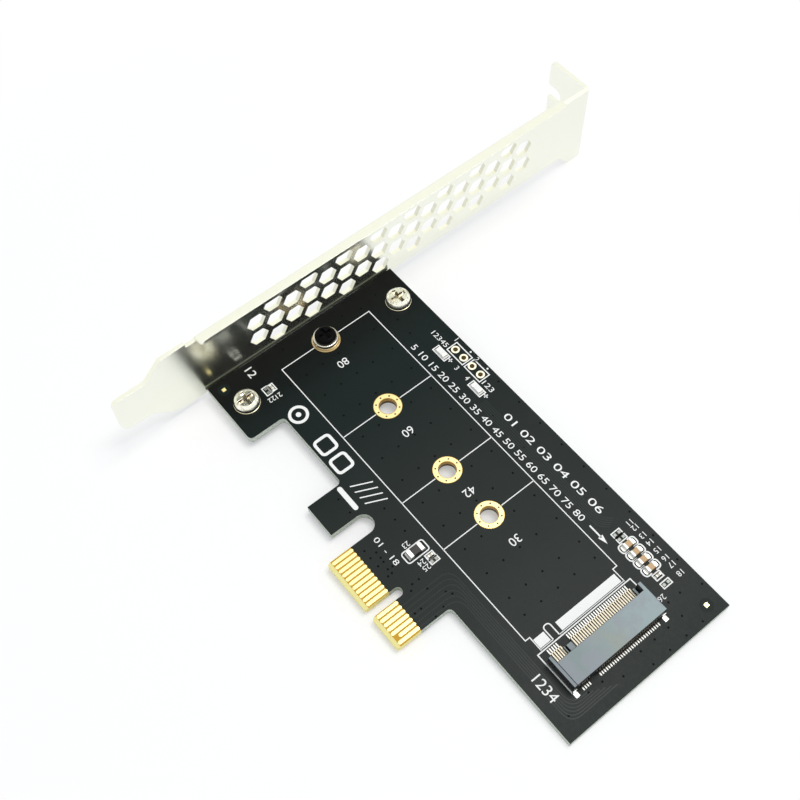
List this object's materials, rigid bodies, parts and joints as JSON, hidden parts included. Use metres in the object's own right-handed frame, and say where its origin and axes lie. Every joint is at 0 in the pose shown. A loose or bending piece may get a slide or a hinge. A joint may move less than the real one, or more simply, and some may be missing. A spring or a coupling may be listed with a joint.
{
  "type": "m.2 drive to pcie x1 adapter card",
  "caption": "Flat adapter card that carries an M.2 drive in a socket and plugs into a PCIe slot, with a folded full-height steel slot bracket that has a honeycomb vent.",
  "frame": {"origin": "middle of the key notch, on the lower edge of the contact fingers, at half the board's thickness", "axes": "+X along the card away from the bracket, +Y from the contact fingers to the card's upper edge, +Z out of the component side"},
  "size_m": [0.1074, 0.1201, 0.0216],
  "materials": {
    "solder_mask": "satin black solder mask over fibreglass",
    "gold_plating": "thin bright gold plating",
    "bracket_steel": "bright nickel-plated sheet steel",
    "nickel": "nickel-plated steel",
    "black_oxide": "black oxide steel",
    "socket_plastic": "moulded black plastic",
    "contact_alloy": "gold-flashed copper alloy",
    "tin": "satin tin",
    "tan_ceramic": "matt tan ceramic",
    "lamp_white": "white lamp resin",
    "fuse_body": "dark moulded body"
  },
  "bodies": {
    "root": {"circuit_board": "solder_mask", "edge_contacts_component_side": "gold_plating", "edge_contacts_solder_side": "gold_plating", "header_hole_plating": "gold_plating", "bare_pads": "gold_plating", "fiducial_marks": "gold_plating", "slot_bracket": "bracket_steel", "bracket_screw_lower": "nickel", "bracket_screw_upper": "nickel", "m2_standoff": "nickel", "m2_standoff_nut": "nickel", "m2_screw": "black_oxide", "m2_socket_housing": "socket_plastic", "m2_socket_front_contacts": "contact_alloy", "m2_socket_rear_contacts": "contact_alloy", "m2_socket_anchors": "tin", "m2_hole_plating_80": "gold_plating", "m2_hole_plating_60": "gold_plating", "m2_hole_plating_42": "gold_plating", "m2_hole_plating_30": "gold_plating", "capacitor_1_body": "tan_ceramic", "capacitor_1_terminals": "tin", "capacitor_2_body": "tan_ceramic", "capacitor_2_terminals": "tin", "capacitor_3_body": "tan_ceramic", "capacitor_3_terminals": "tin", "capacitor_4_body": "tan_ceramic", "capacitor_4_terminals": "tin", "small_capacitor_1_body": "tan_ceramic", "small_capacitor_1_terminals": "tin", "small_capacitor_2_body": "tan_ceramic", "small_capacitor_2_terminals": "tin", "small_capacitor_3_body": "tan_ceramic", "small_capacitor_3_terminals": "tin", "led_1_body": "lamp_white", "led_1_terminals": "tin", "led_2_body": "lamp_white", "led_2_terminals": "tin", "fuse_body": "fuse_body", "fuse_terminals": "tin"}
  },
  "joints": []
}
